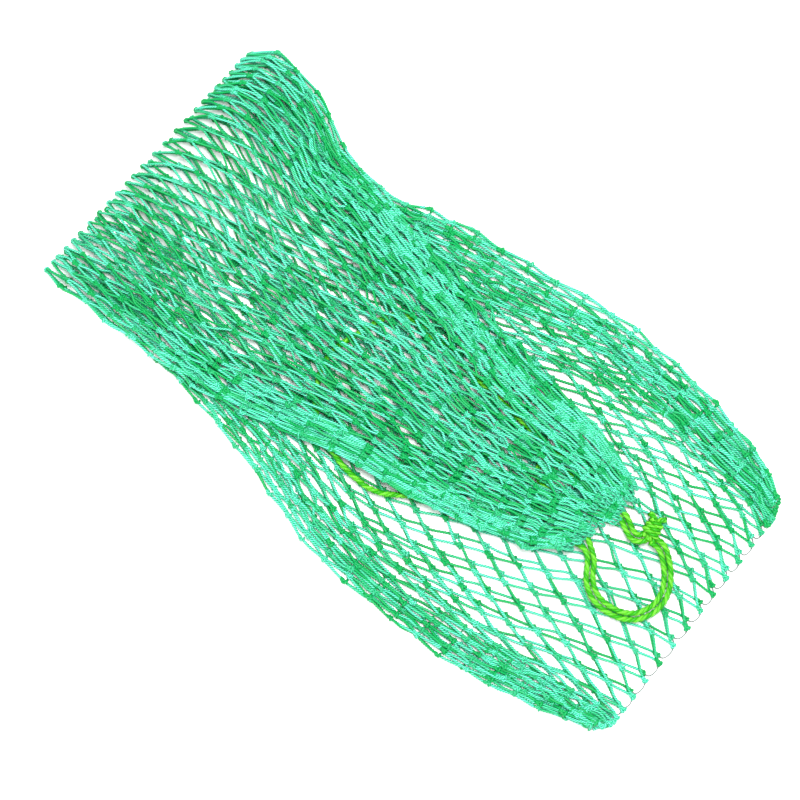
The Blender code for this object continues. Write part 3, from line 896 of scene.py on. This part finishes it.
def drawcord_material():
    return fibre_material(
        "drawcord_twist", crest_highlight=(0.32, 0.75, 0.09), groove_shade=(0.075, 0.55, 0.006), deep_shade_and_mottle=(0.014, 0.32, 0.0),
        roughness=0.35, gloss=0.25,
    )


def netting_material():
    return fibre_material(
        "netting_twine", crest_highlight=(0.23, 0.80, 0.72), groove_shade=(0.001, 0.36, 0.17), deep_shade_and_mottle=(0.0005, 0.26, 0.055),
        roughness=0.32, gloss=0.12,
    )


def closing_material():
    return fibre_material(
        "closing_twine", crest_highlight=(0.24, 0.27, 0.255), groove_shade=(0.18, 0.21, 0.195), deep_shade_and_mottle=(0.14, 0.16, 0.15),
        roughness=0.42, gloss=0.5,
    )


def floor_material():
    material, nodes, links, surface = node_material("pale_floor", 0.8)
    mixed = blend_colours(nodes, links, mottling(nodes, links, 60), (0.90, 0.90, 0.90), (0.94, 0.94, 0.94))
    links.new(mixed, surface.inputs["Base Color"])
    return material


# ---------------------------------------------------------------- camera, light and floor
VIEW_WIDTH = 0.320
VIEW_HEIGHT = 1.5
VIEW_CENTRE = (-4.2 * MM, -7.2 * MM, 8 * MM)
VIEW_TURN = math.radians(40.96)
SENSOR = 36
WORLD_LIGHT = 1.25
LIGHTS = [  # name, place, size, power
    ("key", (-0.10, 0.22, 1.6), 0.35, 37),
    ("fill", (0.9, -0.6, 1.2), 1.0, 6),
]
FLOOR_HALF = 3


def add_camera():
    """A camera straight above the bag, turned as in the photo."""
    camera = bpy.data.objects.new("camera", bpy.data.cameras.new("camera"))
    bpy.context.scene.collection.objects.link(camera)
    camera.data.sensor_width = SENSOR
    camera.data.lens = SENSOR * VIEW_HEIGHT / VIEW_WIDTH
    camera.location = (VIEW_CENTRE[0], VIEW_CENTRE[1], VIEW_CENTRE[2] + VIEW_HEIGHT)
    camera.rotation_euler = (0, 0, VIEW_TURN)
    bpy.context.scene.camera = camera
    bpy.context.scene.view_settings.view_transform = "Standard"


def add_light():
    """An even white world, and two soft lamps that point at the bag."""
    world = bpy.data.worlds.new("studio")
    world.use_nodes = True
    background = world.node_tree.nodes["Background"]
    background.inputs["Color"].default_value = (1, 1, 1, 1)
    background.inputs["Strength"].default_value = WORLD_LIGHT
    bpy.context.scene.world = world
    for name, place, size, power in LIGHTS:
        light = bpy.data.objects.new(name, bpy.data.lights.new(name, "AREA"))
        light.data.size, light.data.energy = size, power
        light.location = place
        light.rotation_mode = "QUATERNION"
        light.rotation_quaternion = Vector(place).to_track_quat("Z", "Y")
        bpy.context.scene.collection.objects.link(light)


def add_floor():
    h = FLOOR_HALF
    mesh = bpy.data.meshes.new("floor")
    mesh.from_pydata([(-h, -h, 0), (h, -h, 0), (h, h, 0), (-h, h, 0)], [], [(0, 1, 2, 3)])
    mesh.materials.append(floor_material())
    floor = bpy.data.objects.new("floor", mesh)
    bpy.context.scene.collection.objects.link(floor)


# ---------------------------------------------------------------- putting it together
BASE, FLAP, FOLD = "bag_base", "bag_flap", None
PANELS = [  # name, rows, layer, body, what it lies on, CAD nodes it stands for
    ("base_netting_under_1", (0, 6), "outer", BASE, "floor", ["base_underside_netting"]),
    ("base_netting_under_2", (6, 12), "outer", BASE, "floor", ["base_front_edge_roll"]),
    ("base_netting_under_3", (12, 18), "outer", BASE, "floor", ["base_rear_edge_roll"]),
    ("base_netting_under_4", (18, 24), "outer", BASE, "floor", []),
    ("base_netting_top_1", (0, 6), "inner", BASE, "base_netting_under_1",
     ["bottom_front_corner_bunch", "bottom_rear_corner_bunch"]),
    ("base_netting_top_2", (6, 12), "inner", BASE, "base_netting_under_2", ["base_topside_netting"]),
    ("base_netting_top_3", (12, 18), "inner", BASE, "base_netting_under_3", []),
    ("base_netting_top_4", (18, 24), "inner", BASE, "base_netting_under_4", []),
    ("fold_netting", (24, 27), "both", FOLD, "floor", ["fold_lower_half", "fold_upper_half"]),
    ("flap_netting_top_1", (27, 32), "outer", FLAP, "flap_netting_under_1", ["flap_topside_netting"]),
    ("flap_netting_top_2", (32, 37), "outer", FLAP, "flap_netting_under_2", ["flap_front_edge_roll"]),
    ("flap_netting_top_3", (37, 42), "outer", FLAP, "flap_netting_under_3", ["flap_rear_edge_roll"]),
    ("flap_netting_top_4", (42, 47), "outer", FLAP, "flap_netting_under_4", []),
    ("flap_netting_under_1", (27, 32), "inner", FLAP, "base_netting_top_4", ["flap_underside_netting"]),
    ("flap_netting_under_2", (32, 37), "inner", FLAP, "base_netting_top_3", []),
    ("flap_netting_under_3", (37, 42), "inner", FLAP, "base_netting_top_2", []),
    ("flap_netting_under_4", (42, 47), "inner", FLAP, "base_netting_top_1", []),
]


def build_drawcord(material):
    """The knot, and the cord's two turns, which both run from the knot and back to it."""
    knot = knot_piece(material)
    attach(knot, "drawcord")
    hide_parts("drawcord_knot")
    for name, turn, offset in (
        ("drawcord_short", SHORT_TURN, STRAND_STEP / 2),
        ("drawcord_long", LONG_TURN, -STRAND_STEP / 2),
    ):
        route = turn_route(turn, offset, CORD_STEP)
        rope = mesh_object(name + "_rope", laid_rope(route), material)
        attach(rope, "drawcord")
        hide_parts(name + "_turn")


def build_ends(net, twine):
    """The mouth's loops and the bottom's closing twine, by the panel that each of them ends."""
    bights = mouth_bights(net, twine)
    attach(bights, "bag_flap")
    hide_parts("mouth_gather")
    closing = closing_twine(net, closing_material())
    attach(closing, "bag_base")
    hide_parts("bottom_closing_row")
    return {"flap_netting_top_4": [bights], "base_netting_under_1": [closing]}


def build_panels(net, twine, ends):
    """The netting, panel by panel, each on its body, and the fold's between the two."""
    for name, rows, layer, body, lies_on, nodes_replaced in PANELS:
        panel = net.panel(name, rows, layer, twine)
        if body:
            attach(panel, body)
        else:
            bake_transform(panel)
        if nodes_replaced:
            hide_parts(*nodes_replaced)


add_camera()
add_light()
add_floor()
build_drawcord(drawcord_material())
net = Netting()
twine_green = netting_material()
build_panels(net, twine_green, build_ends(net, twine_green))
